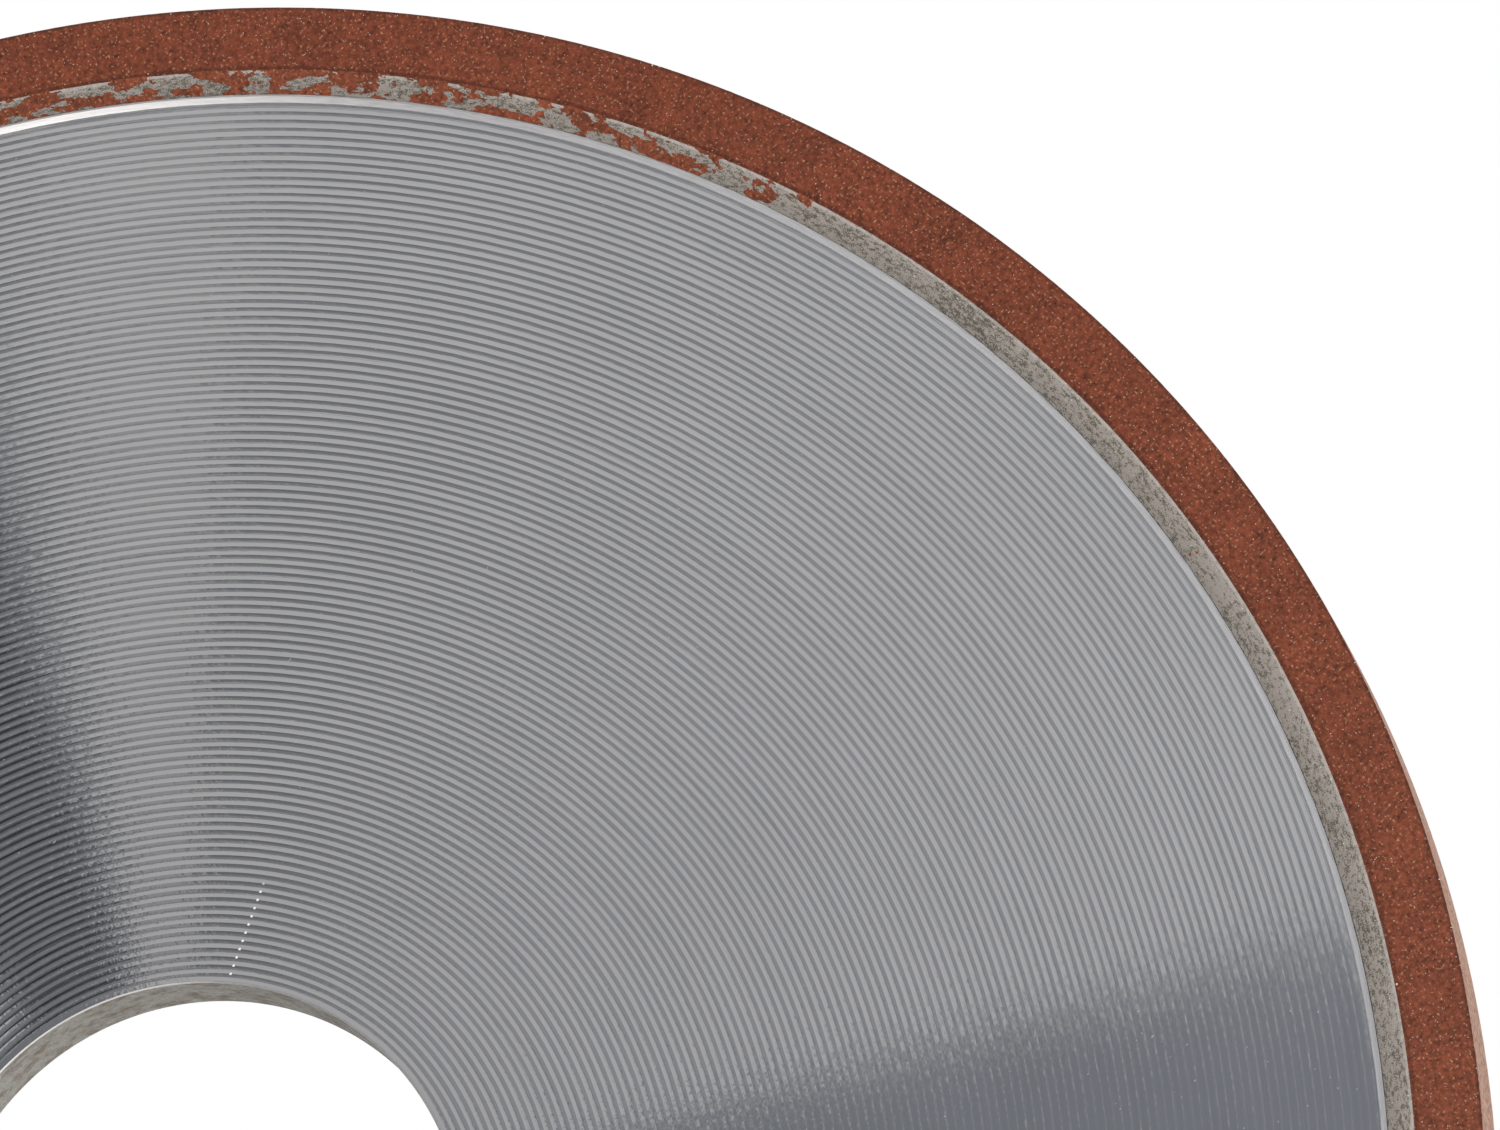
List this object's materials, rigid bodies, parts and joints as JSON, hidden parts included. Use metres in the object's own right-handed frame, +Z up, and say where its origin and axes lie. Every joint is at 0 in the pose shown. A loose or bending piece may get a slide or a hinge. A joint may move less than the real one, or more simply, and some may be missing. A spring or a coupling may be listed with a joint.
{
  "type": "diamond grinding wheel",
  "caption": "Flat diamond grinding wheel: a turned aluminium disc with a round bore, a pressed backing ring and a resin-bond diamond rim.",
  "frame": {"origin": "wheel's centre: on the bore's axis, midway between the two faces", "axes": "+Y along the bore's axis, out of the back face; -Y out of the front face; +Z up and +X to the right seen from the front"},
  "size_m": [0.15, 0.0054, 0.15],
  "materials": {
    "turned_aluminium": "turned with a fine spiral, 0.5 mm a turn",
    "pressed_backing": "as pressed, grainy and dull, with smears of brown resin",
    "diamond_resin": "matt reddish-brown resin full of fine diamond grit"
  },
  "bodies": {
    "root": {"aluminium_core": "turned_aluminium", "backing_ring": "pressed_backing", "diamond_rim": "diamond_resin"}
  },
  "joints": []
}
